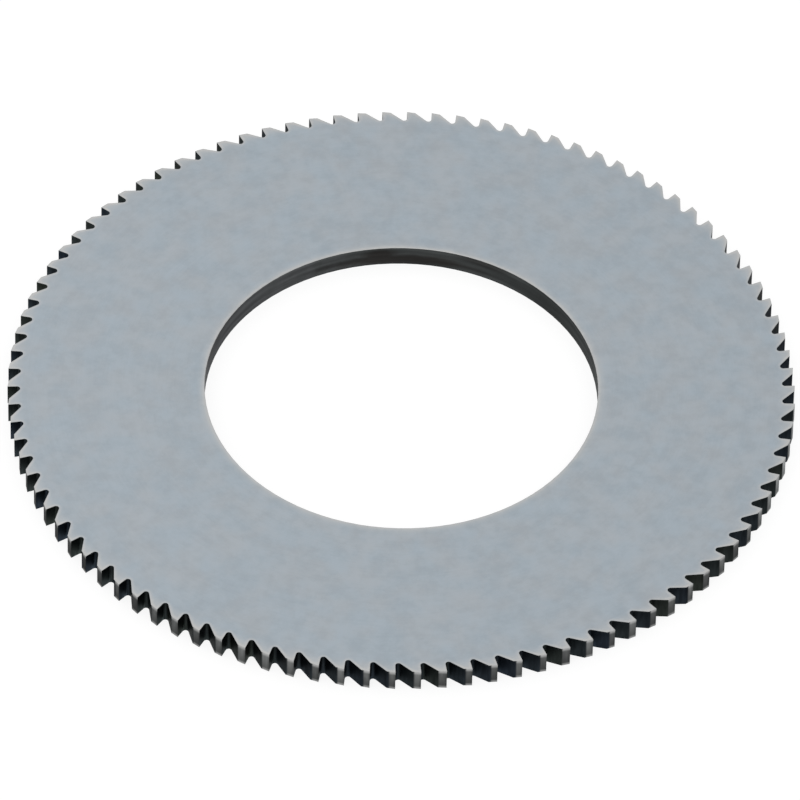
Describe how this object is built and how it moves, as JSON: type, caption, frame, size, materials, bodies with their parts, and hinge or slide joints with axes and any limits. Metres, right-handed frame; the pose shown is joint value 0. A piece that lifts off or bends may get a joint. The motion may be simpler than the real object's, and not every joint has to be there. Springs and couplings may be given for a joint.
{
  "type": "jewelers slitting saw",
  "caption": "Thin round steel slitting saw with a large plain bore, sides ground hollow for clearance, and fine raked teeth milled around the rim.",
  "frame": {"origin": "centre of the bore, on the plane of the lower side's rim, which the blade lies on", "axes": "+Z along the bore axis, out of the upper side; +X through a tooth tip; seen from above the blade cuts turning anticlockwise"},
  "size_m": [0.0508, 0.0508, 0.0015],
  "materials": {
    "ground_steel": "fine ground sides, dark milled gullets"
  },
  "bodies": {
    "root": {"saw_blade": "ground_steel"}
  },
  "joints": []
}
